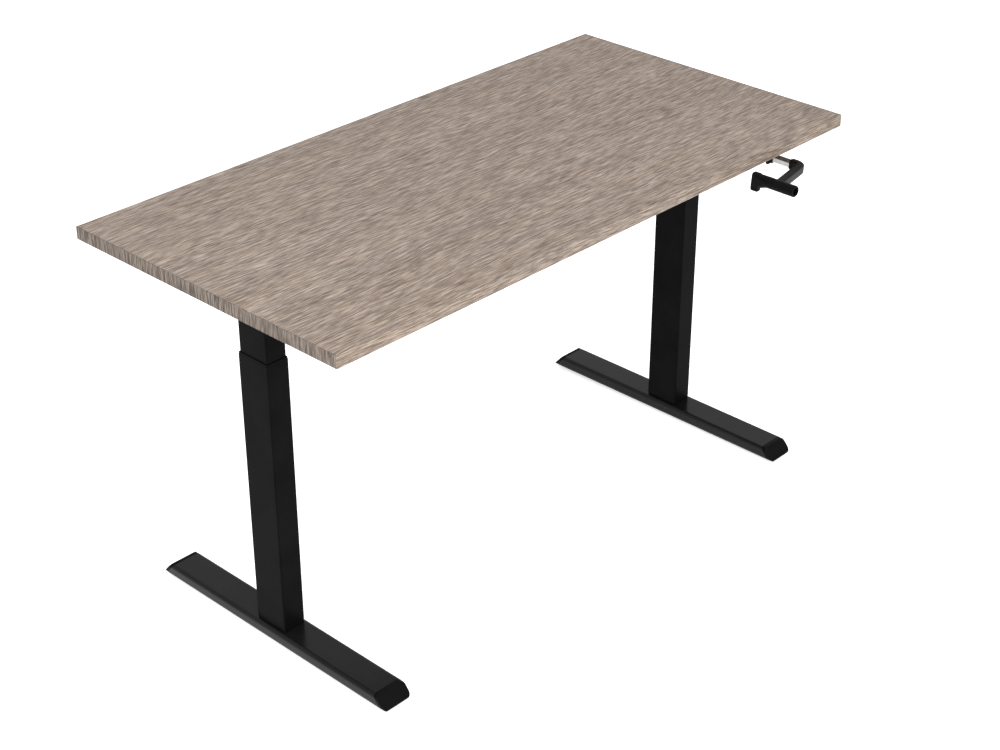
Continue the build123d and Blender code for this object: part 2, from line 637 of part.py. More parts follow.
def frame_fasteners():
    """Cross-head wood screws up into the worktop, and flush screws down into the gear housings."""
    cross = Rectangle(5.5, 1.2) + Rectangle(1.2, 5.5)
    screws = []
    for place in worktop_pilot_places():
        shank = round_bar("Z", SCREW_SHANK, WEB_BOTTOM, UNDERSIDE + 15, place)
        head = round_bar("Z", 5, WEB_BOTTOM - 3, WEB_BOTTOM, place)
        head = fillet(head.edges().sort_by(Axis.Z)[0], 1.5)
        head -= prism("Z", cross, WEB_BOTTOM - 4, WEB_BOTTOM - 1.2, place)
        screws.append(head + shank)
    save(group(screws), "worktop_screws")
    sunk = []
    for sign in SIDES.values():
        for place in head_bolt_places(sign * LEG_X):
            head = countersink(place)
            head -= prism("Z", hexagon(4), UNDERSIDE - 2.2, UNDERSIDE + 1, place)
            sunk.append(head + round_bar("Z", BOLT_SHANK, HEAD_BOTTOM + 9, WEB_BOTTOM, place))
    save(group(sunk), "housing_screws")


def crank():
    """Bar, arm and grip stand at the arm's rest turn about the crank's axis."""
    turn = Pos(CRANK_X, 0, AXIS_Z) * Rot(0, ARM_TURN, 0)
    bar_turn = Pos(CRANK_X, 0, AXIS_Z) * Rot(0, CRANK_BAR_TURN, 0)
    axis = (0, 0)
    stub = prism("Y", hexagon(ROD_FLATS), -110, LEG_Y - 7, (CRANK_X, AXIS_Z))
    pin_hole = round_bar("Z", CRANK_PIN_RADIUS, -20, 20, (0, CRANK_PIN_Y))
    save(stub - bar_turn * pin_hole, "crank_stub")
    half_bar = CRANK_BAR / 2
    pin = round_bar("Z", CRANK_PIN_RADIUS, -half_bar, half_bar, (0, CRANK_PIN_Y))
    save(bar_turn * pin, "crank_pin")
    profile = tube_profile(CRANK_BAR, CRANK_BAR, CRANK_BAR_WALL, CRANK_BAR_CORNER)
    bar = prism("Y", profile, CRANK_BAR_FRONT, CRANK_BAR_BACK, axis) - pin_hole
    save(bar_turn * bar, "crank_bar")

    bar_outline = RectangleRounded(CRANK_BAR, CRANK_BAR, CRANK_BAR_CORNER)
    tab_front = GUIDE_FRONT - SLIDE_GAP
    tab_back = GUIDE_FRONT + SHEET_STEEL + SLIDE_GAP
    sleeve = round_bar("Y", SLEEVE_RADIUS, tab_front, tab_back, axis)
    sleeve += round_bar("Y", SLEEVE_FLANGE, tab_front - 3, tab_front, axis)
    sleeve += round_bar("Y", SLEEVE_FLANGE, tab_back, tab_back + 3, axis)
    sleeve -= prism("Y", bar_outline, -340, -290, axis)
    save(bar_turn * sleeve, "crank_sleeve")

    path = FilletPolyline(
        (0, ARM_START_Y, 0), (0, ARM_ELBOW_Y, 0), (-ARM_LENGTH, GRIP_Y, 0), radius=20
    )
    section = Plane(origin=(0, ARM_START_Y, 0), x_dir=(1, 0, 0), z_dir=(0, -1, 0)) * RectangleRounded(
        ARM_THICKNESS + 5, ARM_HEIGHT, 4.5
    )
    arm = sweep(section, path=path)
    spot = (-ARM_LENGTH, 0)
    eye_front = GRIP_Y - EYE_HALF_WIDTH
    eye_back = GRIP_Y + EYE_HALF_WIDTH
    arm -= round_bar("Y", GRIP_RADIUS + 2, eye_front - 30, eye_front, spot)
    arm -= round_bar("Y", GRIP_RADIUS + 2, eye_back, eye_back + 30, spot)
    arm += ring("Y", EYE_RADIUS, 3, eye_front, eye_back, spot)
    arm -= round_bar("Y", NECK_RADIUS + RUNNING_FIT, eye_front - 1, eye_back + 1, spot)
    socket = prism("Y", bar_outline, CRANK_BAR_FRONT, -300, axis)
    save(turn * arm - bar_turn * socket, "crank_arm")

    front_face = eye_front - SLIDE_GAP
    back_face = eye_back + SLIDE_GAP
    grip = round_bar("Y", GRIP_RADIUS, GRIP_FRONT, front_face, spot)
    grip = fillet(grip.edges().filter_by(GeomType.CIRCLE).sort_by(Axis.Y)[0], 2)
    grip += round_bar("Y", NECK_RADIUS, front_face, back_face, spot)
    grip -= round_bar("Y", GRIP_BORE, GRIP_FRONT - 1, GRIP_FRONT + 22, spot)
    grip -= round_bar("Y", GRIP_BOLT_SHANK, GRIP_FRONT, back_face + 1, spot)
    save(turn * grip, "grip_front")

    flange_front = GRIP_BACK - FLANGE_THICKNESS
    neck = round_bar("Y", GRIP_RADIUS, back_face, FLARE_START, spot)
    flare = loft(
        [
            crank_section(FLARE_START, 0)
            * RectangleRounded(2 * GRIP_RADIUS, 2 * GRIP_RADIUS, GRIP_RADIUS - 0.01),
            crank_section(flange_front, FLARE_DROP) * RectangleRounded(*FLARE_SIZE, FLANGE_CORNER),
        ]
    )
    flange = extrude(
        crank_section(flange_front, FLANGE_DROP) * RectangleRounded(*FLANGE_SIZE, FLANGE_CORNER),
        FLANGE_THICKNESS,
    )
    flange = fillet(flange.edges().filter_by(Axis.Y, reverse=True), 2)
    rear = neck + flare + flange
    rear -= round_bar("Y", GRIP_BOLT_SHANK, back_face - 1, GRIP_BACK - 10, spot)
    save(turn * rear, "grip_rear")

    bolt_head = GRIP_FRONT + 18.5
    bolt = round_bar("Y", 4.5, bolt_head, bolt_head + 3.5, spot)
    bolt -= prism("Y", hexagon(3), bolt_head - 1, bolt_head + 2, spot)
    bolt += round_bar("Y", GRIP_BOLT_SHANK, bolt_head + 3.5, GRIP_BACK - 14, spot)
    save(turn * bolt, "grip_bolt")


def crank_section(y, drop):
    """The plane across the grip's line at y, lowered by drop from the middle of the grip."""
    return Plane(origin=(-ARM_LENGTH, y, -drop), x_dir=(1, 0, 0), z_dir=(0, -1, 0))


def drive_rod():
    save(prism("X", hexagon(ROD_FLATS), ROD_LEFT, ROD_RIGHT, (LEG_Y, AXIS_Z)), "drive_rod")


os.makedirs("parts", exist_ok=True)
worktop()
caps, inserts, glides, bearings = [], [], [], []
column_pieces = {"foot_plates": [], "glide_collars": [], "nut_posts": [], "lift_nuts": []}
for side in SIDES:
    side_caps, side_inserts = foot(side)
    caps += side_caps
    inserts += side_inserts
    for node, piece in column(side).items():
        column_pieces[node].append(piece)
    glides.append(inner_tube(side))
    bearings += leg_head(side)
    lead_screw(side)
    bracket(side)
    for end_name, end in (("front", -1), ("back", 1)):
        levelling_pad(side, end_name, end)
save(group(caps), "foot_end_caps")
save(group(inserts), "leveller_inserts")
save(group(glides), "inner_glides")
save(group(bearings), "screw_bearings")
for node, pieces in column_pieces.items():
    save(group(pieces), node)
foot_fasteners()
gears()
drive_rod()
rod_bushes()
crank_box()
rails()
guide_bracket()
frame_fasteners()
crank()
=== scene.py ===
import bmesh
import bpy
from math import atan2, pi, radians
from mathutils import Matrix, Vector


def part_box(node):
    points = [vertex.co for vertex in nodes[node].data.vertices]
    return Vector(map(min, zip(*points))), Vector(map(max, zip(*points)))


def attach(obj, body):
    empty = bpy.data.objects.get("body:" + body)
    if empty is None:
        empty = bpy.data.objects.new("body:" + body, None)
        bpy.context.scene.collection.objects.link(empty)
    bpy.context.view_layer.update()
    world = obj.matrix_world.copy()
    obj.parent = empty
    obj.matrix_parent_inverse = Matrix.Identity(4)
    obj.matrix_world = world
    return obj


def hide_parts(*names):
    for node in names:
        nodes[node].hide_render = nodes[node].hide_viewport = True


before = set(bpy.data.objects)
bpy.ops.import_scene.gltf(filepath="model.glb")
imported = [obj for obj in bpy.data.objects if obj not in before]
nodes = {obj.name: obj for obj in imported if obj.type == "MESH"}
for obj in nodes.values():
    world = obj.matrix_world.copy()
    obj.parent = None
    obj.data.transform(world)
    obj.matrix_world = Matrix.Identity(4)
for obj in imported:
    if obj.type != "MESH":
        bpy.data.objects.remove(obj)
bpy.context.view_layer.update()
bpy.ops.object.select_all(action="DESELECT")


# ---- Worktop: board and paper -------------------------------------------------------------------
# A chip board core with a printed oak paper pressed on both faces. The print is a greyed, rough-sawn
# oak whose grain runs along the worktop; the paper is matt and its pores are lightly embossed.

def put(tree, value, socket):
    """Feeds a socket from another socket, or gives it a plain value."""
    if isinstance(value, bpy.types.NodeSocket):
        tree.links.new(value, socket)
    else:
        socket.default_value = value


def calculate(tree, operation, first, second=0.0, third=0.0):
    """One step of arithmetic on sockets or numbers."""
    step = tree.nodes.new("ShaderNodeMath")
    step.operation = operation
    for value, socket in zip((first, second, third), step.inputs):
        put(tree, value, socket)
    return step.outputs[0]


def stretched_noise(tree, place, stretch, detail=2.0, roughness=0.5):
    """Noise drawn out along an axis: stretch is how many features a metre each axis has."""
    mapping = tree.nodes.new("ShaderNodeMapping")
    mapping.vector_type = "POINT"
    put(tree, place, mapping.inputs["Vector"])
    mapping.inputs["Scale"].default_value = stretch
    noise = tree.nodes.new("ShaderNodeTexNoise")
    tree.links.new(mapping.outputs[0], noise.inputs["Vector"])
    noise.inputs["Scale"].default_value = 1.0
    noise.inputs["Detail"].default_value = detail
    noise.inputs["Roughness"].default_value = roughness
    return noise.outputs["Fac"]


def between(tree, value, low, high):
    """0 below low, 1 above high and an even slope from one to the other."""
    ramp = tree.nodes.new("ShaderNodeMapRange")
    put(tree, value, ramp.inputs["Value"])
    ramp.inputs["From Min"].default_value = low
    ramp.inputs["From Max"].default_value = high
    return ramp.outputs[0]


def new_group(name, inputs, outputs):
    """An empty shader node group, with its input and output nodes."""
    group = bpy.data.node_groups.new(name, "ShaderNodeTree")
    for label, kind, value in inputs:
        socket = group.interface.new_socket(name=label, in_out="INPUT", socket_type=kind)
        if value is not None:
            socket.default_value = value
    for label, kind in outputs:
        group.interface.new_socket(name=label, in_out="OUTPUT", socket_type=kind)
    return group, group.nodes.new("NodeGroupInput"), group.nodes.new("NodeGroupOutput")


def colour_steps(tree, value, steps):
    """A colour that runs through the (place, colour) steps as value rises."""
    ramp = tree.nodes.new("ShaderNodeValToRGB")
    put(tree, value, ramp.inputs["Fac"])
    points = ramp.color_ramp.elements
    while len(points) < len(steps):
        points.new(0.5)
    for point, (place, colour) in zip(points, steps):
        point.position = place
        point.color = (*colour, 1)
    return ramp.outputs["Color"]


# Features a metre along the grain, across it and in depth.
GRAIN_DRIFT = (1.6, 4, 1)
BROAD_BANDS = (1.3, 13, 13)
STREAKS = (8, 160, 160)
FINE_STREAKS = (20, 400, 400)
HAIR_LINES = (36, 760, 760)
LIMED_LINES = (15, 430, 430)
PORE_TICKS = (24, 460, 460)
SAW_MARKS = (150, 45, 45)
WARM_BANDS = (1.8, 24, 24)
# How much each layer changes the tone.
BROAD_SHARE = 0.3
STREAK_SHARE = 0.6
FINE_SHARE = 1.9
HAIR_SHARE = 1.4
SAW_SHARE = 0.12
LIMED_SHARE = 0.2
PORE_SHARE = 0.24
GRAIN_WANDER = 0.05


def sawn_oak_group():
    """Tone, warmth, pores and height of sawn oak; its grain runs along the X of the given vector."""
    group, given, result = new_group(
        "sawn_oak",
        [("Vector", "NodeSocketVector", None), ("Streak", "NodeSocketFloat", 1.0)],
        [
            ("Tone", "NodeSocketFloat"), ("Warmth", "NodeSocketFloat"),
            ("Pores", "NodeSocketFloat"), ("Height", "NodeSocketFloat"),
        ],
    )
    drift = stretched_noise(group, given.outputs["Vector"], GRAIN_DRIFT, 2)
    bend = calculate(group, "MULTIPLY", calculate(group, "SUBTRACT", drift, 0.5), GRAIN_WANDER)
    shift = group.nodes.new("ShaderNodeCombineXYZ")
    group.links.new(bend, shift.inputs["Y"])
    wander = group.nodes.new("ShaderNodeVectorMath")
    wander.operation = "ADD"
    group.links.new(given.outputs["Vector"], wander.inputs[0])
    group.links.new(shift.outputs[0], wander.inputs[1])
    place = wander.outputs[0]

    broad = stretched_noise(group, place, BROAD_BANDS, 3, 0.55)
    streak = stretched_noise(group, place, STREAKS, 3, 0.6)
    fine = stretched_noise(group, place, FINE_STREAKS, 3, 0.65)
    hair = stretched_noise(group, place, HAIR_LINES)
    limed = stretched_noise(group, place, LIMED_LINES)
    ticks = stretched_noise(group, place, PORE_TICKS)
    saw = stretched_noise(group, place, SAW_MARKS)
    warmth = stretched_noise(group, place, WARM_BANDS)

    broad_change = calculate(group, "SUBTRACT", broad, 0.5)
    tone = calculate(group, "MULTIPLY_ADD", broad_change, BROAD_SHARE, 0.5)
    layers = (
        (streak, STREAK_SHARE), (fine, FINE_SHARE), (hair, HAIR_SHARE), (saw, SAW_SHARE),
    )
    for layer, share in layers:
        change = calculate(group, "MULTIPLY", calculate(group, "SUBTRACT", layer, 0.5), share)
        change = calculate(group, "MULTIPLY", change, given.outputs["Streak"])
        tone = calculate(group, "ADD", tone, change)
    light_line = calculate(group, "MULTIPLY", between(group, limed, 0.58, 0.72), LIMED_SHARE)
    tone = calculate(group, "ADD", tone, light_line)
    pores = between(group, ticks, 0.57, 0.68)
    tone = calculate(group, "SUBTRACT", tone, calculate(group, "MULTIPLY", pores, PORE_SHARE))
    height = calculate(group, "SUBTRACT", calculate(group, "MULTIPLY", fine, 0.4), pores)
    group.links.new(tone, result.inputs["Tone"])
    group.links.new(between(group, warmth, 0.35, 0.65), result.inputs["Warmth"])
    group.links.new(pores, result.inputs["Pores"])
    group.links.new(height, result.inputs["Height"])
    return group


SAWN_OAK = sawn_oak_group()


WARM_TINT = (1.0, 0.965, 0.92, 1)


def oak_print(name, grain, dark, middle, light, streak=1.0):
    """Printed oak. grain names the object axes along the grain, across it and in depth."""
    material = bpy.data.materials.new(name)
    material.use_nodes = True
    tree = material.node_tree
    shader = tree.nodes["Principled BSDF"]
    place = tree.nodes.new("ShaderNodeTexCoord")
    split = tree.nodes.new("ShaderNodeSeparateXYZ")
    tree.links.new(place.outputs["Object"], split.inputs[0])
    turned = tree.nodes.new("ShaderNodeCombineXYZ")
    for axis, socket in zip(grain, turned.inputs):
        tree.links.new(split.outputs[axis], socket)
    oak = tree.nodes.new("ShaderNodeGroup")
    oak.node_tree = SAWN_OAK
    oak.inputs["Streak"].default_value = streak
    tree.links.new(turned.outputs[0], oak.inputs["Vector"])
    tone = colour_steps(tree, oak.outputs["Tone"], [(0.12, dark), (0.5, middle), (0.9, light)])
    tinted = tree.nodes.new("ShaderNodeMix")
    tinted.data_type = "RGBA"
    tinted.blend_type = "MULTIPLY"
    tree.links.new(calculate(tree, "MULTIPLY", oak.outputs["Warmth"], 0.9), tinted.inputs["Factor"])
    tree.links.new(tone, tinted.inputs["A"])
    tinted.inputs["B"].default_value = WARM_TINT
    tree.links.new(tinted.outputs["Result"], shader.inputs["Base Color"])
    rough = calculate(tree, "MULTIPLY_ADD", oak.outputs["Pores"], 0.12, 0.56)
    tree.links.new(rough, shader.inputs["Roughness"])
    shader.inputs["Specular IOR Level"].default_value = 0.2
    bump = tree.nodes.new("ShaderNodeBump")
    bump.inputs["Strength"].default_value = 0.2
    bump.inputs["Distance"].default_value = 0.0003
    tree.links.new(oak.outputs["Height"], bump.inputs["Height"])
    tree.links.new(bump.outputs[0], shader.inputs["Normal"])
    return material


def dress(material, *names):
    """Gives CAD nodes a material in place of the one they came with."""
    for name in names:
        mesh = nodes[name].data
        mesh.materials.clear()
        mesh.materials.append(material)


TOP_DARK = (0.1, 0.077, 0.064)
TOP_MIDDLE = (0.212, 0.168, 0.139)
TOP_LIGHT = (0.37, 0.31, 0.265)

worktop_print = oak_print("worktop_print", "XYZ", TOP_DARK, TOP_MIDDLE, TOP_LIGHT)
dress(worktop_print, "worktop_top_sheet", "worktop_under_sheet")


def chip_board():
    """Pressed chips: pale flakes and darker glue between them."""
    material = bpy.data.materials.new("chip_board")
    material.use_nodes = True
    tree = material.node_tree
    shader = tree.nodes["Principled BSDF"]
    place = tree.nodes.new("ShaderNodeTexCoord").outputs["Object"]
    cells = tree.nodes.new("ShaderNodeTexVoronoi")
    tree.links.new(place, cells.inputs["Vector"])
    cells.inputs["Scale"].default_value = 420
    tone = stretched_noise(tree, place, (260, 260, 500), 3)
    mixed = calculate(tree, "ADD", calculate(tree, "MULTIPLY", cells.outputs["Distance"], 0.5), tone)
    steps = [(0.35, (0.23, 0.15, 0.08)), (0.7, (0.5, 0.37, 0.22)), (1.0, (0.68, 0.54, 0.36))]
    tree.links.new(colour_steps(tree, mixed, steps), shader.inputs["Base Color"])
    rough = calculate(tree, "MULTIPLY_ADD", tone, 0.2, 0.7)
    tree.links.new(rough, shader.inputs["Roughness"])
    return material


dress(chip_board(), "worktop_core")


# ---- Worktop: edge bands ------------------------------------------------------------------------
# Thin printed plastic bands glued to the board's edges and trimmed flush. The long bands carry the
# grain along the edge; the short ones carry it upright, as sawn end grain would show. The short
# bands' tones are darkened to about half of the long bands': painted shade on the desk's end faces.

LONG_DARK = (0.095, 0.073, 0.059)
LONG_MIDDLE = (0.2, 0.16, 0.13)
LONG_LIGHT = (0.35, 0.292, 0.245)
LONG_CONTRAST = 1.2
# The short bands' darker tones are painted shade on the desk's end faces, not a darker print.
SHORT_SHADED_DARK = (0.045, 0.035, 0.029)
SHORT_SHADED_MIDDLE = (0.105, 0.084, 0.069)
SHORT_SHADED_LIGHT = (0.21, 0.175, 0.15)
SHORT_CONTRAST = 1.4

long_band = oak_print(
    "long_band_print", "XZY", LONG_DARK, LONG_MIDDLE, LONG_LIGHT, LONG_CONTRAST
)
# Painted shade: the short bands print darker than the long ones to stand for the end faces' shade.
shaded_end_band = oak_print(
    "short_band_print_painted_shade", "ZYX", SHORT_SHADED_DARK, SHORT_SHADED_MIDDLE, SHORT_SHADED_LIGHT, SHORT_CONTRAST
)
dress(long_band, "edge_bands_long")
dress(shaded_end_band, "edge_bands_short")


# ---- Steel frame and legs -----------------------------------------------------------------------
# Pressed brackets, square rails, the outer columns and the inner tubes are mild steel, powder coated
# black. The coat is half gloss with a faint orange peel and a little dust in it.

def surface_grain_group():
    """Fine unevenness of a coated or moulded skin: a height, and a mask of faint marks."""
    group, given, result = new_group(
        "skin_grain",
        [("Vector", "NodeSocketVector", None), ("Scale", "NodeSocketFloat", 900.0)],
        [("Height", "NodeSocketFloat"), ("Marks", "NodeSocketFloat")],
    )
    noise = group.nodes.new("ShaderNodeTexNoise")
    group.links.new(given.outputs["Vector"], noise.inputs["Vector"])
    group.links.new(given.outputs["Scale"], noise.inputs["Scale"])
    noise.inputs["Detail"].default_value = 2
    group.links.new(noise.outputs["Fac"], result.inputs["Height"])
    marks = stretched_noise(group, given.outputs["Vector"], (14, 14, 14), 5, 0.6)
    group.links.new(marks, result.inputs["Marks"])
    return group


SKIN_GRAIN = surface_grain_group()


def coated(name, low, high, rough, spread, scale, depth, metal=0.0, specular=0.5):
    """A skin whose colour runs between two tones and whose roughness varies by spread."""
    material = bpy.data.materials.new(name)
    material.use_nodes = True
    tree = material.node_tree
    shader = tree.nodes["Principled BSDF"]
    place = tree.nodes.new("ShaderNodeTexCoord").outputs["Object"]
    grain = tree.nodes.new("ShaderNodeGroup")
    grain.node_tree = SKIN_GRAIN
    grain.inputs["Scale"].default_value = scale
    tree.links.new(place, grain.inputs["Vector"])
    steps = [(0.35, low), (0.65, high)]
    tree.links.new(colour_steps(tree, grain.outputs["Marks"], steps), shader.inputs["Base Color"])
    rough_value = calculate(tree, "MULTIPLY_ADD", grain.outputs["Marks"], spread, rough - spread / 2)
    tree.links.new(rough_value, shader.inputs["Roughness"])
    shader.inputs["Metallic"].default_value = metal
    shader.inputs["Specular IOR Level"].default_value = specular
    bump = tree.nodes.new("ShaderNodeBump")
    bump.inputs["Strength"].default_value = 0.3
    bump.inputs["Distance"].default_value = depth
    tree.links.new(grain.outputs["Height"], bump.inputs["Height"])
    tree.links.new(bump.outputs[0], shader.inputs["Normal"])
    return material


powder_coat = coated(
    "black_powder_coat", (0.003, 0.003, 0.0031), (0.0044, 0.0044, 0.0045), 0.34, 0.1, 700, 0.0001,
    specular=0.014,
)
dress(
    powder_coat,
    "outer_column_left", "outer_column_right", "inner_tube_left", "inner_tube_right",
    "side_bracket_left", "side_bracket_right", "cross_rail_front", "cross_rail_back",
    "rail_end_plates", "crank_guide", "foot_plates",
)


# ---- Glides, nuts, screws and gear housings -----------------------------------------------------
# The collar is black nylon and the lower glides are white acetal. The screws are rolled steel in brass
# nuts, and the housings are die-cast aluminium with sintered steel gears.

black_nylon = coated(
    "black_nylon", (0.0035, 0.0035, 0.0036), (0.0052, 0.0052, 0.0053), 0.42, 0.14, 1600, 0.0001,
    specular=0.02,
)
dress(black_nylon, "glide_collars", "crank_sleeve")
white_acetal = coated(
    "white_acetal", (0.62, 0.61, 0.58), (0.72, 0.71, 0.68), 0.4, 0.15, 1200, 0.00006
)
dress(white_acetal, "inner_glides")


def plain_metal(name, dark, light, rough, along, scratch):
    """Bare or plated metal with fine lines along one axis and faint clouding."""
    material = bpy.data.materials.new(name)
    material.use_nodes = True
    tree = material.node_tree
    shader = tree.nodes["Principled BSDF"]
    shader.inputs["Metallic"].default_value = 1.0
    place = tree.nodes.new("ShaderNodeTexCoord").outputs["Object"]
    stretch = [scratch] * 3
    stretch["XYZ".index(along)] = scratch / 40
    lines = stretched_noise(tree, place, stretch, 3, 0.6)
    clouds = stretched_noise(tree, place, (30, 30, 30), 4, 0.6)
    tone = calculate(tree, "MULTIPLY_ADD", lines, 0.5, calculate(tree, "MULTIPLY", clouds, 0.5))
    tree.links.new(
        colour_steps(tree, tone, [(0.35, dark), (0.65, light)]), shader.inputs["Base Color"]
    )
    rough_value = calculate(tree, "MULTIPLY_ADD", tone, 0.25, rough - 0.12)
    tree.links.new(rough_value, shader.inputs["Roughness"])
    bump = tree.nodes.new("ShaderNodeBump")
    bump.inputs["Strength"].default_value = 0.2
    bump.inputs["Distance"].default_value = 0.00008
    tree.links.new(lines, bump.inputs["Height"])
    tree.links.new(bump.outputs[0], shader.inputs["Normal"])
    return material


screw_steel = plain_metal("rolled_steel", (0.3, 0.3, 0.31), (0.5, 0.5, 0.5), 0.3, "Z", 2400)
dress(screw_steel, "lead_screw_left", "lead_screw_right", "crank_stub")
brass = plain_metal("turned_brass", (0.5, 0.34, 0.12), (0.78, 0.58, 0.26), 0.28, "X", 2000)
dress(brass, "lift_nuts", "rod_bushes", "crank_bush")
gear_steel = plain_metal("sintered_steel", (0.2, 0.2, 0.21), (0.36, 0.36, 0.37), 0.42, "Y", 1500)
dress(
    gear_steel,
    "screw_gear_left", "screw_gear_right", "rod_gear_left", "rod_gear_right", "rod_gear_crank",
    "crank_gear",
)
cast_aluminium = coated(
    "cast_aluminium", (0.4, 0.4, 0.41), (0.52, 0.52, 0.53), 0.5, 0.2, 1500, 0.0002, metal=1.0
)
dress(
    cast_aluminium,
    "gear_housing_left", "gear_housing_right", "gear_cover_left", "gear_cover_right",
    "crank_housing", "crank_housing_cover",
)
zinc = plain_metal("zinc_plate", (0.5, 0.5, 0.48), (0.72, 0.72, 0.7), 0.32, "Z", 1800)
dress(
    zinc,
    "nut_posts", "screw_bearings", "foot_bolts", "weld_nuts", "leveller_inserts", "rail_bolts",
    "worktop_screws", "housing_screws", "crank_pin", "grip_bolt",
)
rod_zinc = plain_metal("drawn_zinc_plate", (0.5, 0.5, 0.48), (0.72, 0.72, 0.7), 0.3, "X", 1800)
dress(rod_zinc, "drive_rod")


# ---- Feet ---------------------------------------------------------------------------------------
# Flat steel tube with rounded long edges, powder coated like the legs and mitred at both ends, where
# a moulded cap closes it: a sloped face with round corners, held by a plug inside the tube.

foot_coat = coated(
    "foot_powder_coat", (0.0052, 0.0052, 0.0053), (0.0074, 0.0074, 0.0076), 0.22, 0.06, 600, 0.0001,
    specular=0.13,
)
dress(foot_coat, "foot_left", "foot_right")
moulded_black = coated(
    "moulded_black", (0.003, 0.003, 0.0031), (0.0046, 0.0046, 0.0047), 0.34, 0.1, 1800, 0.0001,
    specular=0.03,
)
dress(moulded_black, "foot_end_caps")

CAP_SEAM = 0.0015
CAP_FACE = 0.0064
CAP_SLOPE = 0.023
CAP_CORNER = 0.009
CAP_SOFTENING = 0.0018
PLUG_GAP = 0.0024
PLUG_LENGTH = 0.0095
END_FACE_AREA = 0.0008
CAP_SMOOTHING = radians(35)


def alone(piece):
    """Makes a piece the only selected and the active one."""
    bpy.ops.object.select_all(action="DESELECT")
    piece.select_set(True)
    bpy.context.view_layer.objects.active = piece


def pick(kind, test):
    """In edit mode, selects just the faces ("FACE") or edges ("EDGE") that pass the test."""
    bpy.ops.mesh.select_mode(type=kind)
    bpy.ops.mesh.select_all(action="DESELECT")
    mesh = bmesh.from_edit_mesh(bpy.context.active_object.data)
    for part in mesh.faces if kind == "FACE" else mesh.edges:
        if test(part):
            part.select_set(True)
    bmesh.update_edit_mesh(bpy.context.active_object.data)


def runs_along(edge, axis):
    """Whether an edge is parallel to the axis numbered 0, 1 or 2."""
    first, second = (corner.co for corner in edge.verts)
    return abs((second - first).normalized()[axis]) > 0.99


def settle(piece):
    """Puts a piece's place and size into its mesh."""
    alone(piece)
    bpy.ops.object.transform_apply(location=True, rotation=True, scale=True)


def copy_of(piece, name, shift, mirror_y=None):
    """A copy with its own mesh, moved, and turned end for end about the plane y = mirror_y."""
    copy = piece.copy()
    copy.data = piece.data.copy()
    copy.name = name
    bpy.context.scene.collection.objects.link(copy)
    copy.location = shift
    if mirror_y is not None:
        copy.scale.y = -1
        copy.location.y = 2 * mirror_y
    settle(copy)
    bpy.ops.object.mode_set(mode="EDIT")
    bpy.ops.mesh.select_all(action="SELECT")
    bpy.ops.mesh.normals_make_consistent(inside=False)
    bpy.ops.object.mode_set(mode="OBJECT")
    return copy


def face_y(face):
    return face.calc_center_median().y


def foot_cap():
    """The cap at the front of the left foot."""
    low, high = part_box("foot_left")
    middle = (low + high) / 2
    bpy.ops.mesh.primitive_cube_add(
        size=1, location=(middle.x, low.y - CAP_SEAM - CAP_FACE / 2, middle.z)
    )
    cap = bpy.context.active_object
    cap.name = "foot_cap_front_left"
    cap.scale = (high.x - low.x, CAP_FACE, high.z - low.z)
    settle(cap)
    bpy.ops.object.mode_set(mode="EDIT")
    pick("FACE", lambda face: face.normal.z > 0.9)
    bpy.ops.transform.translate(value=(0, CAP_SLOPE, 0))
    pick("EDGE", lambda edge: runs_along(edge, 1))
    bpy.ops.mesh.bevel(offset=CAP_CORNER, segments=7, profile=0.5)
    front = min(face_y(face) for face in bmesh.from_edit_mesh(cap.data).faces)
    pick(
        "FACE", lambda face: face.calc_area() > END_FACE_AREA and face_y(face) < front + CAP_FACE / 4
    )
    bpy.ops.mesh.bevel(offset=CAP_SOFTENING, segments=4, profile=0.5)
    pick("FACE", lambda face: face.calc_area() > END_FACE_AREA and face.normal.y > 0.3)
    bpy.ops.mesh.inset(thickness=PLUG_GAP)
    bpy.ops.mesh.extrude_region_move(TRANSFORM_OT_translate={"value": (0, PLUG_LENGTH, 0)})
    bpy.ops.mesh.select_all(action="SELECT")
    bpy.ops.mesh.normals_make_consistent(inside=False)
    bpy.ops.object.mode_set(mode="OBJECT")
    bpy.ops.object.shade_smooth_by_angle(angle=CAP_SMOOTHING)
    cap.data.materials.append(moulded_black)
    return cap


cap = foot_cap()
foot_low, foot_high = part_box("foot_left")
foot_middle = (foot_low.y + foot_high.y) / 2
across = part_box("foot_right")[0].x - foot_low.x
caps = [
    cap,
    copy_of(cap, "foot_cap_back_left", (0, 0, 0), foot_middle),
    copy_of(cap, "foot_cap_front_right", (across, 0, 0)),
    copy_of(cap, "foot_cap_back_right", (across, 0, 0), foot_middle),
]
for piece in caps:
    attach(piece, "base")
    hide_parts("foot_end_caps")


# ---- Levelling pads -----------------------------------------------------------------------------
# Moulded discs with finger notches round the rim and a hollow sole, each on a zinc-plated threaded
# stud that screws into the foot's insert.

PAD_THICKNESS = 0.005
PAD_RIM_ROUND = 0.0014
PAD_STEP_INSET = 0.006
PAD_STEP_RISE = 0.0008
PAD_STEP_ROUND = 0.0003
SOLE_CHAMFER = 0.0006
SOLE_LAND = 0.003
SOLE_HOLLOW = 0.001
BROAD_FACE_AREA = 0.0001
NOTCH_PITCH = pi / 8
NOTCH_WIDTH = pi / 14
NOTCH_INSET = 0.0003
NOTCH_DEPTH = 0.0007
RIM_FACE_AREA = 0.000002
STUD_CREST = 0.004
STUD_ROOT = 0.0034
STUD_PITCH = 0.00125
STUD_CHAMFER = 0.0008
STUD_TIP = 0.8
PAD_SMOOTHING = radians(30)
# One turn of thread: how much of the pitch each step climbs, and what the radius is multiplied by.
THREAD_STEPS = (
    (0.3, STUD_CREST / STUD_ROOT), (0.2, 1), (0.3, STUD_ROOT / STUD_CREST), (0.2, 1),
)


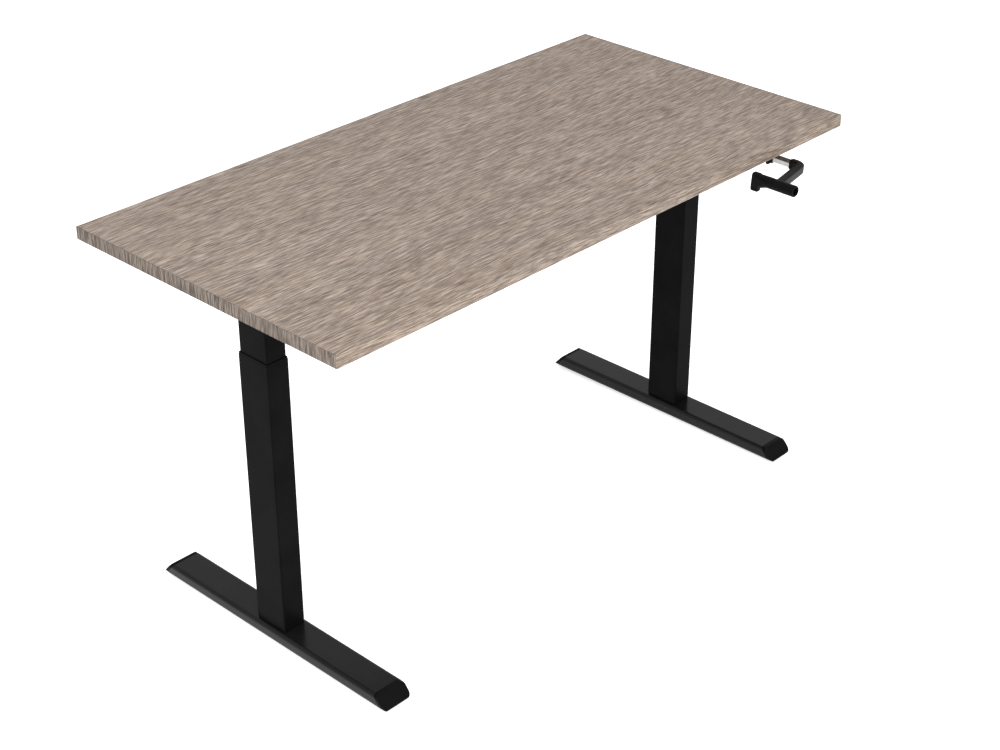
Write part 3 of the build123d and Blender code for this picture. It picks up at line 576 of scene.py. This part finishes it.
def pad_disc(name):
    """The moulded disc of the levelling pad that the CAD node of that name stands for."""
    low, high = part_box(name)
    middle = (low + high) / 2
    radius = (high.x - low.x) / 2
    bpy.ops.mesh.primitive_cylinder_add(
        vertices=64, radius=radius, depth=PAD_THICKNESS,
        location=(middle.x, middle.y, low.z + PAD_THICKNESS / 2),
    )
    disc = bpy.context.active_object
    settle(disc)
    bpy.ops.object.mode_set(mode="EDIT")
    pick("FACE", lambda face: face.normal.z > 0.9)
    bpy.ops.mesh.bevel(offset=PAD_RIM_ROUND, segments=4)
    pick("FACE", lambda face: face.normal.z > 0.999 and face.calc_area() > BROAD_FACE_AREA)
    bpy.ops.mesh.inset(thickness=PAD_STEP_INSET)
    bpy.ops.mesh.extrude_region_move(TRANSFORM_OT_translate={"value": (0, 0, PAD_STEP_RISE)})
    bpy.ops.mesh.bevel(offset=PAD_STEP_ROUND, segments=2)
    pick("FACE", lambda face: face.normal.z < -0.9)
    bpy.ops.mesh.bevel(offset=SOLE_CHAMFER, segments=2)
    pick("FACE", lambda face: face.normal.z < -0.999 and face.calc_area() > BROAD_FACE_AREA)
    bpy.ops.mesh.inset(thickness=SOLE_LAND)
    bpy.ops.mesh.extrude_region_move(TRANSFORM_OT_translate={"value": (0, 0, SOLE_HOLLOW)})

    def notched(face):
        out = face.calc_center_median() - middle
        turn = atan2(out.y, out.x) % NOTCH_PITCH
        upright = abs(face.normal.z) < 0.05 and face.calc_area() > RIM_FACE_AREA
        return upright and turn < NOTCH_WIDTH and out.xy.length > radius * 0.97

    pick("FACE", notched)
    bpy.ops.mesh.inset(thickness=NOTCH_INSET, depth=-NOTCH_DEPTH)
    bpy.ops.object.mode_set(mode="OBJECT")
    bpy.ops.object.shade_smooth_by_angle(angle=PAD_SMOOTHING)
    disc.name = name.replace("levelling", "moulded")
    disc.data.materials.append(black_nylon)
    return disc


def pad_stud(name):
    """The pad's threaded stud: turns of thread built up ring by ring, with a chamfered tip."""
    low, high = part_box(name)
    spot = (low + high) / 2
    foot_of_stud = low.z + PAD_THICKNESS
    bpy.ops.mesh.primitive_circle_add(
        vertices=24, radius=STUD_ROOT, fill_type="NGON", location=(spot.x, spot.y, foot_of_stud)
    )
    stud = bpy.context.active_object
    settle(stud)
    bpy.ops.object.mode_set(mode="EDIT")
    bpy.ops.mesh.select_all(action="SELECT")
    height = foot_of_stud
    while height + STUD_PITCH + STUD_CHAMFER < high.z:
        for rise, factor in THREAD_STEPS:
            height += rise * STUD_PITCH
            bpy.ops.mesh.extrude_region_move(
                TRANSFORM_OT_translate={"value": (0, 0, rise * STUD_PITCH)}
            )
            bpy.ops.transform.resize(
                value=(factor, factor, 1), center_override=(spot.x, spot.y, height)
            )
    bpy.ops.mesh.extrude_region_move(TRANSFORM_OT_translate={"value": (0, 0, high.z - height)})
    bpy.ops.transform.resize(
        value=(STUD_TIP, STUD_TIP, 1), center_override=(spot.x, spot.y, high.z)
    )
    bpy.ops.mesh.select_all(action="SELECT")
    bpy.ops.mesh.normals_make_consistent(inside=False)
    bpy.ops.object.mode_set(mode="OBJECT")
    bpy.ops.object.shade_smooth_by_angle(angle=PAD_SMOOTHING)
    stud.name = name.replace("levelling_pad", "pad_stud")
    stud.data.materials.append(zinc)
    return stud


for end in ("front", "back"):
    for side in ("left", "right"):
        pad = f"levelling_pad_{end}_{side}"
        for piece, finish in ((pad_disc(pad), "rubber_pad"), (pad_stud(pad), "zinc_steel")):
            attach(piece, f"pad_{end}_{side}")
            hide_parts(pad)


# ---- Crank --------------------------------------------------------------------------------------
# A square zinc-plated bar carries a moulded nylon arm, and a two-part moulded grip spins in the arm's
# eye on a socket screw. The arm's and grip's joins run smoothly together, as they left the mould.

crank_zinc = plain_metal("crank_zinc_plate", (0.24, 0.24, 0.24), (0.46, 0.46, 0.455), 0.24, "Y", 1500)
dress(crank_zinc, "crank_bar")
dress(moulded_black, "crank_arm", "grip_front", "grip_rear")

MOULD_GRID = 0.0009
ARM_ROUNDING = 10
GRIP_ROUNDING = 8


def moulded_copy(node, name, rounding):
    """A CAD node's form, with its edges rounded by so many passes of smoothing."""
    piece = nodes[node].copy()
    piece.data = nodes[node].data.copy()
    piece.name = name
    for key in list(piece.keys()):
        if key.startswith("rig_"):
            del piece[key]
    piece.parent = None
    bpy.context.scene.collection.objects.link(piece)
    alone(piece)
    bpy.ops.object.mode_set(mode="EDIT")
    bpy.ops.mesh.select_all(action="SELECT")
    bpy.ops.mesh.remove_doubles(threshold=0.00001)
    bpy.ops.object.mode_set(mode="OBJECT")
    grid = piece.modifiers.new("grid", "REMESH")
    grid.mode = "VOXEL"
    grid.voxel_size = MOULD_GRID
    bpy.ops.object.modifier_apply(modifier="grid")
    soften = piece.modifiers.new("soften", "SMOOTH")
    soften.factor = 0.5
    soften.iterations = rounding
    bpy.ops.object.modifier_apply(modifier="soften")
    bpy.ops.object.shade_smooth()
    return piece


for node, body, rounding in (
    ("crank_arm", "crank", ARM_ROUNDING), ("grip_rear", "grip", GRIP_ROUNDING),
):
    moulding = moulded_copy(node, f"{node}_moulding", rounding)
    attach(moulding, body)
    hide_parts(node)


# ---- Floor, light and camera --------------------------------------------------------------------
# A plain pale floor under a wide soft light, with the camera to the left of the desk's front. The
# floor can be seen through from below, so that the underside shows.

FLOOR_SIZE = 60
FLOOR_DROP = 0.0005
FLOOR_GLOW = 0.6


def floor():
    bpy.ops.mesh.primitive_plane_add(size=FLOOR_SIZE, location=(0, 0, -FLOOR_DROP))
    ground = bpy.context.active_object
    ground.name = "floor"
    material = bpy.data.materials.new("pale_floor")
    material.use_nodes = True
    tree = material.node_tree
    shader = tree.nodes["Principled BSDF"]
    place = tree.nodes.new("ShaderNodeTexCoord").outputs["Object"]
    tone = stretched_noise(tree, place, (3, 3, 3), 3)
    steps = [(0.3, (0.93, 0.93, 0.93)), (0.7, (0.95, 0.95, 0.95))]
    pale = colour_steps(tree, tone, steps)
    tree.links.new(pale, shader.inputs["Base Color"])
    tree.links.new(pale, shader.inputs["Emission Color"])
    shader.inputs["Emission Strength"].default_value = FLOOR_GLOW
    clear = tree.nodes.new("ShaderNodeBsdfTransparent")
    from_below = tree.nodes.new("ShaderNodeMixShader")
    facing = tree.nodes.new("ShaderNodeNewGeometry")
    tree.links.new(facing.outputs["Backfacing"], from_below.inputs["Fac"])
    tree.links.new(shader.outputs[0], from_below.inputs[1])
    tree.links.new(clear.outputs[0], from_below.inputs[2])
    tree.links.new(from_below.outputs[0], tree.nodes["Material Output"].inputs["Surface"])
    shader.inputs["Roughness"].default_value = 0.85
    shader.inputs["Specular IOR Level"].default_value = 0.1
    ground.data.materials.append(material)


def soft_light(name, place, target, size, power):
    """A rectangular lamp at place that faces target."""
    data = bpy.data.lights.new(name, "AREA")
    data.shape = "RECTANGLE"
    data.size, data.size_y = size
    data.energy = power
    lamp = bpy.data.objects.new(name, data)
    lamp.location = place
    aim = Vector(target) - Vector(place)
    lamp.rotation_euler = aim.to_track_quat("-Z", "Y").to_euler()
    bpy.context.scene.collection.objects.link(lamp)


floor()
soft_light("key", (-2.1, -1.5, 2.3), target=(-0.4, 0, 0.7), size=(2.0, 1.6), power=66)
soft_light("overhead", (0.2, -0.8, 3.6), target=(0, 0, 0.4), size=(3.6, 3.0), power=16)
soft_light("front_fill", (0.8, -4.5, 2.2), target=(0, 0, 0.5), size=(3.0, 2.0), power=26)

world = bpy.data.worlds.new("studio")
world.use_nodes = True
world.node_tree.nodes["Background"].inputs["Color"].default_value = (1, 1, 1, 1)
world.node_tree.nodes["Background"].inputs["Strength"].default_value = 1.0
bpy.context.scene.world = world
bpy.context.scene.view_settings.view_transform = "Standard"

WORKTOP_CENTRE = Vector((0, 0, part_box("worktop_top_sheet")[1].z))
CAMERA_STEP_BACK = Vector((-2.492, -2.411, 1.521))
CAMERA_TILT = radians(60.215)
CAMERA_TURN = radians(-46.514)
camera_data = bpy.data.cameras.new("camera")
camera_data.lens = 70.07
camera_data.sensor_width = 36
camera_data.clip_end = 200
camera = bpy.data.objects.new("camera", camera_data)
camera.location = WORKTOP_CENTRE + CAMERA_STEP_BACK
camera.rotation_euler = (CAMERA_TILT, 0, CAMERA_TURN)
bpy.context.scene.collection.objects.link(camera)
bpy.context.scene.camera = camera
